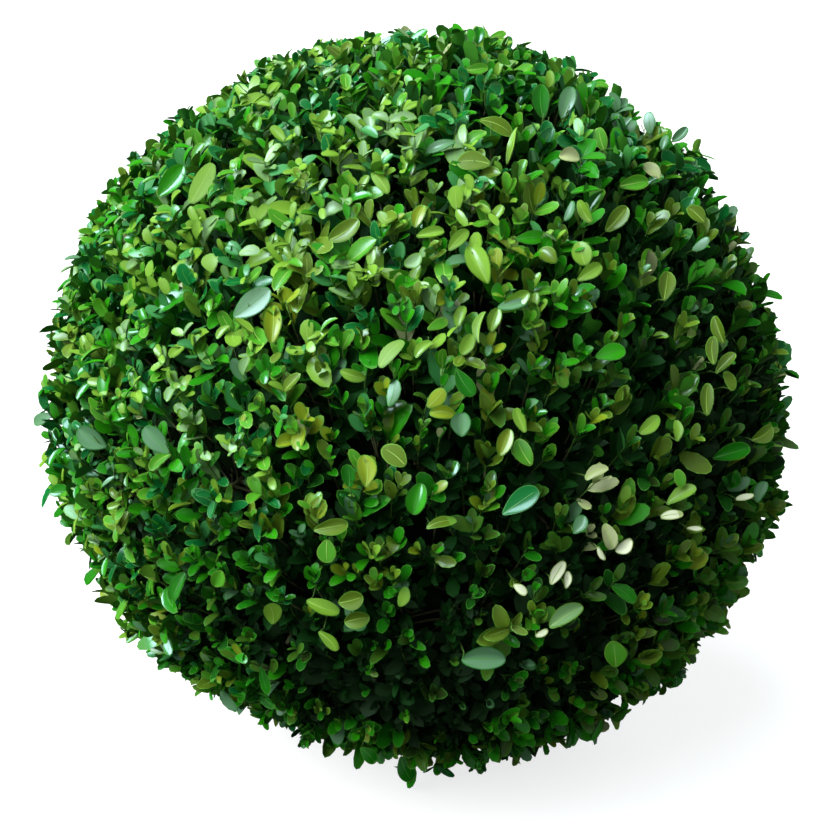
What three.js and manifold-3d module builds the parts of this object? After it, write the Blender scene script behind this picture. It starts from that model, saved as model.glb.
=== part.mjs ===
// A clipped box ball, rooted in the ground: a short flared stem, five low boughs and one dense
// ball of foliage that hides them. Millimetres, +Z up, ground level at Z 0, and the front of the
// ball faces -Y.
import * as THREE from "three";
import { mergeVertices } from "three/addons/utils/BufferGeometryUtils.js";
import Module from "manifold-3d";

const wasm = await Module();
wasm.setup();

// The clipped surface, to the tips of its leaves.
const BALL_RADIUS = 260;
const BALL_CENTRE = new THREE.Vector3(0, 0, 248);
const UNDERSIDE = 6; // the level clip under the ball, above the ground
const STRAY_ROOM = 1.01; // a leaf tip may reach this share of the clipped radius

// Bulges and dips on the outline that the ball shows from the front, seen from VIEW_TILT above
// level. A bearing runs anticlockwise from the right of that outline, in degrees.
const VIEW_TILT = 22;
const LUMPS = [
  { bearing: 3, spread: 5, rise: 0.026 },
  { bearing: 46, spread: 5, rise: 0.06 },
  { bearing: 54, spread: 14, rise: -0.04 },
  { bearing: 79, spread: 8, rise: 0.028 },
  { bearing: 92, spread: 8, rise: -0.036 },
  { bearing: 126, spread: 5, rise: -0.018 },
  { bearing: 143, spread: 8, rise: 0.031 },
  { bearing: 179, spread: 17, rise: 0.023 },
  { bearing: 252, spread: 21, rise: -0.054 },
  { bearing: 270, spread: 5, rise: 0.056 },
  { bearing: 282, spread: 5, rise: 0.031 },
  { bearing: 313, spread: 20, rise: 0.009 },
  { bearing: 346, spread: 8, rise: 0.043 },
  { bearing: 352, spread: 5, rise: -0.045 },
];
// The shears wander by this share of the radius, over so many waves.
const RIPPLE = 0.009;
const RIPPLE_WAVES = 4;

// The woody core that the shoots stand out of.
const CORE_DEPTH = 24;
const CORE_DETAIL = 5;
const CORE_RUGGED = 24; // by which its hummocks stand up or lie low
const CORE_WAVES = 19;

// The bare hollow round the stem, under the ball.
const HOLLOW_RADIUS = 56;
const HOLLOW_SHOULDER = 66;
const HOLLOW_TOP = 124;
const GAP = 0.3; // between solids that meet
const SMALLEST_DETAIL = 0.02; // slivers below this are merged away

// The stem, from its flat cut at the ground to its fork.
const STEM_HEIGHT = 92;
const STEM_RADIUS = 15;
const STEM_TOP_RADIUS = 12;
const FLARE_RADIUS = 14; // added at the ground
const FLARE_HEIGHT = 16; // by which the flare has mostly gone
const FLARE_RIBS = 5;
const FLARE_RIB_RISE = 0.45; // share of the flare by which its ribs stand out
const STEM_LEAN = new THREE.Vector2(5, -3); // of its top

// The ball's own stem, which stands on the fork and is sunk in the core.
const CROWN_STEM_RADIUS = 8;
const CROWN_STEM_TOP_RADIUS = 7;
const CROWN_STEM_SUNK = 16;

// The boughs.
const BOUGH_COUNT = 5;
const BOUGH_LENGTH = 100;
const BOUGH_FOOT_RADIUS = 7;
const BOUGH_END_RADIUS = 4.5;
const BOUGH_LOWEST = 52;
const BOUGH_STEP = 6; // between the heights that they start from
const BOUGH_RISE = 38; // degrees above level where it leaves the stem
const BOUGH_CURL = 26; // degrees by which it turns up along its length
const BOUGH_SWING = 16; // degrees within which its bearing, and each stretch of it, is drawn

// The shoots and leaves, larger than life and fewer than the real ones.
const SHOOT_COUNT = 90;
const OUTLINE_SHOOTS = [3, 45, 143, 211, 270, 283, 295, 346]; // bearings of sprigs on the outline
const SHOOT_ROOT = 14; // sunk in the core
const SHOOT_TIP_DEPTH = [5, 15]; // below the clipped surface
const SHOOT_RADIUS = 3;
const SHOOT_TIP_RADIUS = 2.1;
const SHOOT_LEAN = 28; // degrees off the radius
const LEAF_PAIRS = [0.45, 0.92]; // places along the part of the shoot that shows
const LEAF_LENGTH = 52;
const LEAF_WIDTH = 33;
const LEAF_THICKNESS = 1.6;
const LEAF_CUP = 3; // how far the middle lies below the rim
const LEAF_MIDDLE = 0.55; // place of the middle along the leaf
const LEAF_ANGLE = [72, 52]; // degrees off the shoot, for the lower and the end pair
const LEAF_SWAY = 18; // degrees either way
const LEAF_TWIST = 28; // degrees within which its turn about the shoot is drawn
const LEAF_LAID = 6; // degrees at a time, where its tip would stand out too far
const LEAF_FLATTEST = 100; // degrees off the shoot
const LEAF_SUNK = 0.4; // past the middle of the shoot
// The outline of a leaf from its root round to its root, as shares of its length and width.
const LEAF_OUTLINE = [
  [0, 0],
  [0.46, 0.46],
  [0.93, 0.31],
  [0.93, -0.31],
  [0.46, -0.46],
];

const degrees = THREE.MathUtils.degToRad;
const UP = new THREE.Vector3(0, 0, 1);
const GOLDEN_ANGLE = Math.PI * (3 - Math.sqrt(5));

// A number from 0 to 1 that depends only on the whole numbers given.
function chance(index, salt) {
  let h = Math.imul(index + 1, 0x9e3779b1) ^ Math.imul(salt + 1, 0x85ebca6b);
  h = Math.imul(h ^ (h >>> 15), 0x2c1b3c6d);
  h = Math.imul(h ^ (h >>> 12), 0x297a2d39);
  return ((h ^ (h >>> 15)) >>> 0) / 4294967296;
}

const between = ([low, high], share) => low + (high - low) * share;

// A smooth wander between -1 and 1 over the ball's directions.
function wander({ x, y, z }, waves) {
  const first = Math.sin(waves * (x + 0.6 * z) + 1);
  const second = Math.sin(waves * (0.8 * y - z) + 2);
  const third = Math.sin(waves * (0.9 * x - 1.1 * y) + 3);
  return (first * second + second * third + third * first) / 3;
}

// Direction on the outline seen from the front, for a bearing in degrees.
function outlineDirection(bearing) {
  const angle = degrees(bearing);
  const tilt = degrees(VIEW_TILT);
  return new THREE.Vector3(
    Math.cos(angle),
    Math.sin(angle) * Math.sin(tilt),
    Math.sin(angle) * Math.cos(tilt),
  );
}

const lumps = LUMPS.map((lump) => ({ ...lump, towards: outlineDirection(lump.bearing) }));

// How far the clipped surface lies from the ball's centre in a direction.
function clippedRadius(direction) {
  let share = 1 + RIPPLE * wander(direction, RIPPLE_WAVES);
  for (const { towards, spread, rise } of lumps) {
    const away = direction.angleTo(towards) / degrees(spread);
    share += rise * Math.exp(-away * away);
  }
  const level = direction.z < 0 ? (BALL_CENTRE.z - UNDERSIDE) / -direction.z : Infinity;
  return Math.min(BALL_RADIUS * share, level);
}

// A geometry as a solid for joining and cutting.
function solidOf(geometry) {
  const bare = new THREE.BufferGeometry();
  bare.setAttribute("position", geometry.getAttribute("position"));
  bare.setIndex(geometry.index);
  const merged = mergeVertices(bare, 1e-4);
  return new wasm.Manifold(
    new wasm.Mesh({
      numProp: 3,
      vertProperties: merged.attributes.position.array,
      triVerts: new Uint32Array(merged.index.array),
    }),
  );
}

// Moves each vertex of a geometry to where place(vertex) puts it.
function reshape(geometry, place) {
  const position = geometry.getAttribute("position");
  const vertex = new THREE.Vector3();
  for (let i = 0; i < position.count; i++) {
    place(vertex.fromBufferAttribute(position, i));
    position.setXYZ(i, vertex.x, vertex.y, vertex.z);
  }
  return geometry;
}

// A limb that follows a path, where radiusAt(share, turn) gives its radius. The rings of a level
// limb lie flat, and so does each of its ends.
function limb(path, sides, steps, radiusAt, level = false) {
  const geometry = new THREE.CylinderGeometry(1, 1, 1, sides, steps);
  return reshape(geometry, (vertex) => {
    const share = THREE.MathUtils.clamp(vertex.y + 0.5, 0, 1);
    const turn = Math.atan2(vertex.z, vertex.x);
    const reach = Math.hypot(vertex.x, vertex.z) * radiusAt(share, turn);
    const tangent = level ? UP : path.getTangent(share);
    const side = new THREE.Vector3(1, 0, 0).addScaledVector(tangent, -tangent.x).normalize();
    const other = new THREE.Vector3().crossVectors(side, tangent);
    path.getPoint(share, vertex);
    vertex.addScaledVector(side, reach * Math.cos(turn));
    vertex.addScaledVector(other, reach * Math.sin(turn));
  });
}

// The stem's middle line, which bends a little on its way up.
const stemLine = new THREE.CatmullRomCurve3([
  new THREE.Vector3(0, 0, 0),
  new THREE.Vector3(0, 0, STEM_HEIGHT * 0.3),
  new THREE.Vector3(STEM_LEAN.x * 0.7, STEM_LEAN.y * 0.3, STEM_HEIGHT * 0.65),
  new THREE.Vector3(STEM_LEAN.x, STEM_LEAN.y, STEM_HEIGHT),
]);

function stemRadius(height, turn) {
  const flare = FLARE_RADIUS * Math.exp(-height / FLARE_HEIGHT);
  const ribs = 1 + FLARE_RIB_RISE * Math.cos(FLARE_RIBS * turn);
  const taper = THREE.MathUtils.lerp(STEM_RADIUS, STEM_TOP_RADIUS, height / STEM_HEIGHT);
  return taper + flare * ribs;
}

// The stem, or the stem grown by a margin, to cut the boughs to it.
function stemGeometry(margin = 0) {
  const sides = 25;
  const steps = 14;
  const radiusAt = (share, turn) => margin + stemRadius(share * STEM_HEIGHT, turn);
  return limb(stemLine, sides, steps, radiusAt, true);
}

// The hollow under the ball, or the hollow shrunk by a margin, to cut the boughs to it.
function hollowGeometry(margin = 0) {
  const radius = HOLLOW_RADIUS - margin;
  const top = HOLLOW_TOP - margin;
  const profile = [new THREE.Vector2(0, -1), new THREE.Vector2(radius, -1)];
  const arcSteps = 7;
  for (let i = 0; i <= arcSteps; i++) {
    const angle = (i / arcSteps) * (Math.PI / 2);
    const height = HOLLOW_SHOULDER + (top - HOLLOW_SHOULDER) * Math.sin(angle);
    profile.push(new THREE.Vector2(i === arcSteps ? 0 : radius * Math.cos(angle), height));
  }
  return new THREE.LatheGeometry(profile, 24).rotateX(Math.PI / 2);
}

function boughGeometry(index) {
  const sides = 10;
  const steps = 7;
  const swing = (draw, salt) => degrees(BOUGH_SWING) * (chance(draw, salt) - 0.5);
  const bearing = index * ((2 * Math.PI) / BOUGH_COUNT) + swing(index, 31);
  const height = BOUGH_LOWEST + BOUGH_STEP * ((index * 2) % BOUGH_COUNT);
  const foot = stemLine.getPoint(height / STEM_HEIGHT);
  const points = [foot];
  const pieces = 4;
  for (let i = 0; i < pieces; i++) {
    const rise = degrees(BOUGH_RISE + BOUGH_CURL * (i / (pieces - 1)));
    const towards = bearing + swing(index * pieces + i, 37);
    const along = new THREE.Vector3(
      Math.cos(rise) * Math.cos(towards),
      Math.cos(rise) * Math.sin(towards),
      Math.sin(rise),
    );
    points.push(points[i].clone().addScaledVector(along, BOUGH_LENGTH / pieces));
  }
  const path = new THREE.CatmullRomCurve3(points);
  return limb(path, sides, steps, (share) => {
    return THREE.MathUtils.lerp(BOUGH_FOOT_RADIUS, BOUGH_END_RADIUS, share);
  });
}

function coreGeometry() {
  const geometry = new THREE.IcosahedronGeometry(1, CORE_DETAIL);
  return reshape(geometry, (vertex) => {
    const direction = vertex.clone().normalize();
    const hummock = CORE_RUGGED * wander(direction, CORE_WAVES);
    const radius = clippedRadius(direction) - CORE_DEPTH + hummock;
    vertex.copy(direction).multiplyScalar(radius).add(BALL_CENTRE);
  });
}

// A three-sided twig from one point to another.
function twigGeometry(from, to) {
  const along = to.clone().sub(from);
  const geometry = new THREE.CylinderGeometry(SHOOT_TIP_RADIUS, SHOOT_RADIUS, 1, 3, 1);
  geometry.translate(0, 0.5, 0).scale(1, along.length(), 1);
  const turn = new THREE.Quaternion().setFromUnitVectors(
    new THREE.Vector3(0, 1, 0),
    along.normalize(),
  );
  return geometry.applyQuaternion(turn).translate(from.x, from.y, from.z);
}

// One leaf, cupped and closed, with its root at the origin, its length on +Y and its face on +Z.
function leafGeometry(length, width) {
  const corners = LEAF_OUTLINE.length;
  const geometry = new THREE.SphereGeometry(1, corners, 2);
  return reshape(geometry, (vertex) => {
    if (Math.abs(vertex.y) > 0.5) {
      const half = (Math.sign(vertex.y) * LEAF_THICKNESS) / 2;
      vertex.set(0, length * LEAF_MIDDLE, half - LEAF_CUP);
      return;
    }
    const turn = Math.atan2(vertex.z, -vertex.x) / (2 * Math.PI);
    const corner = (Math.round(turn * corners) + corners) % corners;
    const [along, across] = LEAF_OUTLINE[corner];
    vertex.set(across * width, along * length, 0);
  });
}

// Directions spread evenly over a ball by the golden angle.
function spreadDirection(index, count) {
  const level = 1 - (2 * index + 1) / count;
  const azimuth = index * GOLDEN_ANGLE;
  const ring = Math.sqrt(1 - level * level);
  return new THREE.Vector3(ring * Math.cos(azimuth), ring * Math.sin(azimuth), level);
}

// The shoots of the ball, each leaning a little: those all over it, then those on its outline.
function* shoots() {
  for (let index = 0; index < SHOOT_COUNT + OUTLINE_SHOOTS.length; index++) {
    const outward =
      index < SHOOT_COUNT
        ? spreadDirection(index, SHOOT_COUNT)
        : outlineDirection(OUTLINE_SHOOTS[index - SHOOT_COUNT]);
    const lean = new THREE.Vector3(
      chance(index, 1) - 0.5,
      chance(index, 2) - 0.5,
      chance(index, 3) - 0.5,
    );
    const along = outward.clone().addScaledVector(lean, 2 * Math.tan(degrees(SHOOT_LEAN)));
    along.normalize();
    const surface = clippedRadius(outward);
    const root = BALL_CENTRE.clone().addScaledVector(outward, surface - CORE_DEPTH - SHOOT_ROOT);
    const depth = between(SHOOT_TIP_DEPTH, chance(index, 4));
    const shown = CORE_DEPTH - depth;
    const tip = root.clone().addScaledVector(along, SHOOT_ROOT + shown);
    yield { index, along, root, tip };
  }
}

// True if a point keeps to the ball's own space: inside the clipped surface and off the stem.
function inSpace(point) {
  const offset = point.clone().sub(BALL_CENTRE);
  const reach = offset.length();
  const inHollow = Math.hypot(point.x, point.y) < HOLLOW_RADIUS && point.z < HOLLOW_TOP;
  return !inHollow && reach <= clippedRadius(offset.divideScalar(reach)) * STRAY_ROOM;
}

// The way a leaf points: as steep as its pair stands, or laid down until its tip is in space.
function clippedWay(node, along, out, length, steepest) {
  const way = new THREE.Vector3();
  for (let angle = steepest; angle <= LEAF_FLATTEST; angle += LEAF_LAID) {
    way.copy(along).multiplyScalar(Math.cos(degrees(angle)));
    way.addScaledVector(out, Math.sin(degrees(angle)));
    if (inSpace(node.clone().addScaledVector(way, length))) break;
  }
  return way;
}

// The leaves of one shoot: opposite pairs, each turned a quarter against the last.
function* leavesOf({ index, along, root, tip }) {
  const side = new THREE.Vector3().crossVectors(along, UP);
  if (side.length() < 0.1) side.set(1, 0, 0);
  side.normalize();
  const firstTurn = 2 * Math.PI * chance(index, 5);
  const shownFrom = SHOOT_ROOT / root.distanceTo(tip);
  for (const [pair, place] of LEAF_PAIRS.entries()) {
    const node = root.clone().lerp(tip, shownFrom + (1 - shownFrom) * place);
    for (const [half, opposite] of [0, Math.PI].entries()) {
      const draw = index * 8 + pair * 2 + half;
      const twist = degrees(LEAF_TWIST) * (chance(draw, 6) - 0.5);
      const turn = firstTurn + (pair * Math.PI) / 2 + opposite + twist;
      const out = side.clone().applyAxisAngle(along, turn);
      const length = LEAF_LENGTH * (0.85 + 0.3 * chance(draw, 8));
      const steepest = LEAF_ANGLE[pair] + LEAF_SWAY * 2 * (chance(draw, 7) - 0.5);
      const way = clippedWay(node, along, out, length, steepest);
      const across = new THREE.Vector3().crossVectors(way, along).normalize();
      const face = new THREE.Vector3().crossVectors(across, way);
      const start = node.clone().addScaledVector(way, -LEAF_SUNK);
      yield { start, across, way, face, length };
    }
  }
}

function placedLeaf({ start, across, way, face, length }) {
  const geometry = leafGeometry(length, (LEAF_WIDTH / LEAF_LENGTH) * length);
  const place = new THREE.Matrix4().makeBasis(across, way, face).setPosition(start);
  return geometry.applyMatrix4(place);
}

function crownStemGeometry() {
  const sides = 9;
  const foot = STEM_HEIGHT + GAP;
  const height = HOLLOW_TOP + CROWN_STEM_SUNK - foot;
  return new THREE.CylinderGeometry(CROWN_STEM_TOP_RADIUS, CROWN_STEM_RADIUS, height, sides)
    .rotateX(Math.PI / 2)
    .translate(STEM_LEAN.x, STEM_LEAN.y, foot + height / 2);
}

// The whole ball of foliage: the core, the stem it stands on, its shoots and their leaves.
function foliageSolid() {
  const core = solidOf(coreGeometry()).subtract(solidOf(hollowGeometry()));
  const pieces = [core, solidOf(crownStemGeometry())];
  for (const shoot of shoots()) {
    if (!inSpace(shoot.tip)) continue;
    pieces.push(solidOf(twigGeometry(shoot.root, shoot.tip)));
    for (const leaf of leavesOf(shoot)) {
      const end = leaf.start.clone().addScaledVector(leaf.way, leaf.length);
      if (inSpace(end)) pieces.push(solidOf(placedLeaf(leaf)));
    }
  }
  return wasm.Manifold.union(pieces).asOriginal().simplify(SMALLEST_DETAIL);
}

function meshOf(name, solid, finish) {
  const { numProp, numVert, vertProperties, triVerts } = solid.getMesh();
  const position = new Float32Array(numVert * 3);
  for (let i = 0; i < numVert; i++) {
    position.set(vertProperties.subarray(i * numProp, i * numProp + 3), i * 3);
  }
  const geometry = new THREE.BufferGeometry();
  geometry.setAttribute("position", new THREE.BufferAttribute(position, 3));
  geometry.setIndex(new THREE.BufferAttribute(triVerts, 1));
  geometry.computeVertexNormals();
  const mesh = new THREE.Mesh(geometry, new THREE.MeshStandardMaterial(finish));
  mesh.name = name;
  return mesh;
}

const BARK = { color: 0x6b5a45, roughness: 0.9, metalness: 0 };
const LEAF_GREEN = { color: 0x2f7a1f, roughness: 0.5, metalness: 0 };

const plant = new THREE.Group();
plant.add(meshOf("stem", solidOf(stemGeometry()), BARK));
const stemRoom = solidOf(stemGeometry(GAP));
const boughRoom = solidOf(hollowGeometry(GAP));
for (let index = 0; index < BOUGH_COUNT; index++) {
  const bough = solidOf(boughGeometry(index)).subtract(stemRoom).intersect(boughRoom);
  plant.add(meshOf(`bough_${index + 1}`, bough, BARK));
}
plant.add(meshOf("foliage_ball", foliageSolid(), LEAF_GREEN));

export default plant;
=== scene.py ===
import math

import bpy
import numpy as np
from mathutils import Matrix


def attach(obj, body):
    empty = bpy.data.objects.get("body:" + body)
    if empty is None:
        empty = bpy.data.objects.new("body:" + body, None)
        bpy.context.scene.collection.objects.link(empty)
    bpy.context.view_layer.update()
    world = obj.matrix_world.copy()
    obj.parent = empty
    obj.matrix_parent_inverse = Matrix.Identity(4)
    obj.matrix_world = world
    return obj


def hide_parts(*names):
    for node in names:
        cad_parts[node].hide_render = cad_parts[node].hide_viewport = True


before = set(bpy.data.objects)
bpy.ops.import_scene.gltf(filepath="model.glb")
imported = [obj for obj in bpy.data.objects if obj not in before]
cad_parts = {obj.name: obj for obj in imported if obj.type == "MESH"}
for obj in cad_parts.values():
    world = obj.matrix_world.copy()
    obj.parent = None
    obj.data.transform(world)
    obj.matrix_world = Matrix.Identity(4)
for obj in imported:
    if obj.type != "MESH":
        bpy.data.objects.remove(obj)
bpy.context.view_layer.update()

MM = 0.001
PICTURE = 829
put_in_scene = bpy.context.scene.collection.objects.link

# The clipped surface, as in the solids
BALL_RADIUS = 260.0
CENTRE = np.array([0.0, 0.0, 248.0])
UNDERSIDE = 6.0
VIEW_TILT = math.radians(22)
RIPPLE, RIPPLE_WAVES = 0.009, 4
LUMPS = [  # bearing and spread in degrees, rise as a share of the radius
    (3, 5, 0.026), (46, 5, 0.06), (54, 14, -0.04), (79, 8, 0.028), (92, 8, -0.036),
    (126, 5, -0.018), (143, 8, 0.031), (179, 17, 0.023), (252, 21, -0.054), (270, 5, 0.056),
    (282, 5, 0.031), (313, 20, 0.009), (346, 8, 0.043), (352, 5, -0.045),
]
HOLLOW_RADIUS, HOLLOW_TOP = 56.0, 124.0

# The wood, as in the solids
STEM_HEIGHT, STEM_RADIUS, STEM_TOP_RADIUS = 92.0, 15.0, 12.0
FLARE_RADIUS, FLARE_HEIGHT, FLARE_RIBS, FLARE_RIB_RISE = 14.0, 16.0, 5, 0.45
STEM_LEAN = np.array([5.0, -3.0])
BOUGH_COUNT, BOUGH_LENGTH, BOUGH_FOOT_RADIUS, BOUGH_END_RADIUS = 5, 100.0, 7.0, 4.5
BOUGH_LOWEST, BOUGH_STEP, BOUGH_RISE, BOUGH_CURL, BOUGH_SWING = 52.0, 6.0, 38.0, 26.0, 16.0
CORE_DEPTH, SHOOT_ROOT = 24.0, 14.0
SHOOT_COUNT, SHOOT_LEAN = 90, 28.0
OUTLINE_SHOOTS = [3, 45, 143, 211, 270, 283, 295, 346]

# The finer growth
SPRIG_COUNT = 3300
SPRIG_JITTER = 0.02  # of its direction, in radians
SPRIG_STEM = (46.0, 62.0)  # length
SPRIG_LEAN = (0.0, 0.55)  # sideways share against the outward way
SPRIG_RISE = (0.8, 1.4)  # how much the light pulls it up, low on the ball and higher up
RISE_LEVELS = (-0.7, 0.0)  # between them
SPRIG_DEPTH = (2.5, 27.0)  # of its tip below the clipped surface
SPRIG_BOW = 0.22
# The dark heart is a sheet of painted shade inside the leaves
HEART_DEPTH = 52.0  # of the dark heart below the clipped surface
PAIR_STEPS = [1.5, 5.5, 7.0, 8.0, 8.5, 8.5]  # from the tip back, between leaf pairs
PAIR_LENGTHS = [10.5, 15, 18, 19, 19, 18.5]  # of the leaves
PAIR_ANGLES = [15, 25, 33, 40, 46, 50]  # off the stem
LEAF_LONGEST = 29.0
STRAY_ROOM = (0.99, 1.022)
# The deeper leaves, single sheets, are painted dark as painted shade
OUTER_DEPTH = 18.0  # leaves deeper than this are single dark sheets

rng = np.random.default_rng(20)


# Numbers and directions
def unit(v):
    return v / np.maximum(np.linalg.norm(v, axis=-1, keepdims=True), 1e-9)


def dot(a, b):
    return np.sum(a * b, axis=-1, keepdims=True)


def chance(index, salt):
    """The source's number from 0 to 1 for a pair of whole numbers."""
    mask = 0xFFFFFFFF
    h = ((index + 1) * 0x9E3779B1 & mask) ^ ((salt + 1) * 0x85EBCA6B & mask)
    h = (h ^ (h >> 15)) * 0x2C1B3C6D & mask
    h = (h ^ (h >> 12)) * 0x297A2D39 & mask
    return (h ^ (h >> 15)) / 4294967296


def wander(d, waves):
    x, y, z = np.moveaxis(d, -1, 0)
    first = np.sin(waves * (x + 0.6 * z) + 1)
    second = np.sin(waves * (0.8 * y - z) + 2)
    third = np.sin(waves * (0.9 * x - 1.1 * y) + 3)
    return (first * second + second * third + third * first) / 3


def outline_direction(bearing):
    a = math.radians(bearing)
    up = math.sin(a)
    return np.array([math.cos(a), up * math.sin(VIEW_TILT), up * math.cos(VIEW_TILT)])


def clipped_radius(d):
    share = 1 + RIPPLE * wander(d, RIPPLE_WAVES)
    for bearing, spread, rise in LUMPS:
        away = np.arccos(np.clip(d @ outline_direction(bearing), -1, 1)) / math.radians(spread)
        share = share + rise * np.exp(-away * away)
    down = np.maximum(-d[..., 2], 1e-6)
    return np.minimum(BALL_RADIUS * share, (CENTRE[2] - UNDERSIDE) / down)


def spread_directions(count):
    index = np.arange(count)
    level = 1 - (2 * index + 1) / count
    azimuth = index * math.pi * (3 - math.sqrt(5))
    ring = np.sqrt(1 - level * level)
    return np.stack([ring * np.cos(azimuth), ring * np.sin(azimuth), level], axis=1)


def depth_below_surface(points):
    offset = points - CENTRE
    reach = np.linalg.norm(offset, axis=-1)
    return clipped_radius(unit(offset)) - reach


def in_hollow(points, margin=0.0):
    near = np.hypot(points[..., 0], points[..., 1]) < HOLLOW_RADIUS - margin
    return near & (points[..., 2] < HOLLOW_TOP)


# Meshes and materials
def piece(name, vertices, triangles, material, slot, replaces):
    """A joined mesh from arrays, in place on the frame."""
    mesh = bpy.data.meshes.new(name)
    mesh.vertices.add(len(vertices))
    mesh.vertices.foreach_set("co", (np.asarray(vertices, dtype=np.float64) * MM).ravel())
    mesh.loops.add(3 * len(triangles))
    mesh.loops.foreach_set("vertex_index", np.asarray(triangles, dtype=np.int32).ravel())
    mesh.polygons.add(len(triangles))
    mesh.polygons.foreach_set("loop_start", np.arange(0, 3 * len(triangles), 3, dtype=np.int32))
    mesh.polygons.foreach_set("use_smooth", np.full(len(triangles), True))
    mesh.materials.append(material)
    mesh.update()
    mesh.validate()
    obj = bpy.data.objects.new(name, mesh)
    put_in_scene(obj)
    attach(obj, "root")
    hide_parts(replaces)


def foliage_piece(name, grown, material):
    piece(name, *grown, material, "foliage", "foliage_ball")


def srgb(colour):
    """Linear values of a colour given as 0 to 255."""
    c = np.asarray(colour) / 255
    return tuple(float(v) for v in np.where(c <= 0.04045, c / 12.92, ((c + 0.055) / 1.055) ** 2.4))


def plain_material(name, colour, roughness, specular=0.5):
    material = bpy.data.materials.new(name)
    material.use_nodes = True
    shader = material.node_tree.nodes["Principled BSDF"]
    shader.inputs["Base Color"].default_value = (*srgb(colour), 1)
    shader.inputs["Roughness"].default_value = roughness
    shader.inputs["Specular IOR Level"].default_value = specular
    return material


GRAIN_DETAIL, GRAIN_ROUGHNESS = 8, 0.65
RAMP_START, RAMP_LENGTH = 0.3, 0.4  # the part of the noise that the colours are spread over
RELIEF_DEPTH = 0.002  # metres


def mottled_material(name, colours, scale, roughness, specular, bump, stretch=(1, 1, 1)):
    """Noise between colours, with a bump of the same grain."""
    material = plain_material(name, colours[0], roughness, specular)
    nodes, links = material.node_tree.nodes, material.node_tree.links
    shader = nodes["Principled BSDF"]
    place = nodes.new("ShaderNodeTexCoord")
    mapping = nodes.new("ShaderNodeMapping")
    mapping.inputs["Scale"].default_value = stretch
    links.new(place.outputs["Object"], mapping.inputs["Vector"])
    noise = nodes.new("ShaderNodeTexNoise")
    noise.inputs["Scale"].default_value = scale
    noise.inputs["Detail"].default_value = GRAIN_DETAIL
    noise.inputs["Roughness"].default_value = GRAIN_ROUGHNESS
    links.new(mapping.outputs["Vector"], noise.inputs["Vector"])
    ramp = nodes.new("ShaderNodeValToRGB")
    ramp.color_ramp.elements.remove(ramp.color_ramp.elements[0])
    for i, colour in enumerate(colours):
        place_at = RAMP_START + RAMP_LENGTH * i / (len(colours) - 1)
        stop = ramp.color_ramp.elements[0] if i == 0 else ramp.color_ramp.elements.new(place_at)
        stop.position = place_at
        stop.color = (*srgb(colour), 1)
    links.new(noise.outputs["Fac"], ramp.inputs["Fac"])
    links.new(ramp.outputs["Color"], shader.inputs["Base Color"])
    relief = nodes.new("ShaderNodeBump")
    relief.inputs["Strength"].default_value = bump
    relief.inputs["Distance"].default_value = RELIEF_DEPTH
    links.new(noise.outputs["Fac"], relief.inputs["Height"])
    links.new(relief.outputs["Normal"], shader.inputs["Normal"])
    return material


def tube_grid(rings, sides):
    """Triangles of a tube of so many rings, each with so many vertices."""
    row = np.arange(rings - 1)[:, None] * sides
    here = np.arange(sides)[None, :]
    there = (here + 1) % sides
    a, b, c, d = row + here, row + there, row + sides + there, row + sides + here
    return np.concatenate([np.stack([a, b, c], -1), np.stack([a, c, d], -1)], axis=1).reshape(-1, 3)


def repeated(vertices, one):
    """A mesh of many alike, from the points of each and the triangles of one."""
    shift = np.arange(len(vertices)) * math.prod(vertices.shape[1:-1])
    return vertices.reshape(-1, 3), (one + shift[:, None, None]).reshape(-1, 3)


def tubes(paths, radii, sides=3):
    """Many thin tubes at once: paths (n, k, 3) with radii (n, k)."""
    rings = paths.shape[1]
    ahead = unit(np.gradient(paths, axis=1))
    helper = np.where(np.abs(ahead[..., 2:3]) > 0.9, [[[1.0, 0, 0]]], [[[0, 0, 1.0]]])
    side = unit(np.cross(ahead, helper))
    other = np.cross(ahead, side)
    turn = np.arange(sides) * 2 * math.pi / sides
    offset = side[:, :, None] * np.cos(turn)[:, None] + other[:, :, None] * np.sin(turn)[:, None]
    vertices = paths[:, :, None] + offset * radii[:, :, None, None]
    last = (rings - 1) * sides
    cap = np.array([[last, last + i, last + i + 1] for i in range(1, sides - 1)])
    return repeated(vertices, np.concatenate([tube_grid(rings, sides), cap]))


def joined(parts):
    """Meshes put together in one."""
    vertices, triangles, start = [], [], 0
    for v, t in parts:
        vertices.append(v)
        triangles.append(t + start)
        start += len(v)
    return np.concatenate(vertices), np.concatenate(triangles)


# The camera
LENS, SENSOR = 100.0, 36.0
BALL_PIXELS = 369.3  # mean radius of the ball in the picture
BALL_PLACE = (421.5, 403.5)  # its centre in the picture
MEAN_RADIUS = 255.0

pixels_per_slope = PICTURE * LENS / SENSOR
camera_distance = MEAN_RADIUS / math.sin(math.atan(BALL_PIXELS / pixels_per_slope))
towards_camera = np.array([0.0, -math.cos(VIEW_TILT), math.sin(VIEW_TILT)])
camera_up = np.array([0.0, math.sin(VIEW_TILT), math.cos(VIEW_TILT)])
camera_place = CENTRE + towards_camera * camera_distance

camera = bpy.data.objects.new("camera", bpy.data.cameras.new("camera"))
camera.data.lens = LENS
camera.data.sensor_width = SENSOR
camera.data.shift_x = (PICTURE / 2 - BALL_PLACE[0]) / PICTURE
camera.data.shift_y = (BALL_PLACE[1] - PICTURE / 2) / PICTURE
camera.location = camera_place * MM
camera.rotation_euler = (math.pi / 2 - VIEW_TILT, 0, 0)
put_in_scene(camera)
bpy.context.scene.camera = camera


SURFACE_ROUNDS = 6  # of bringing a point nearer to the uneven surface


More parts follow.
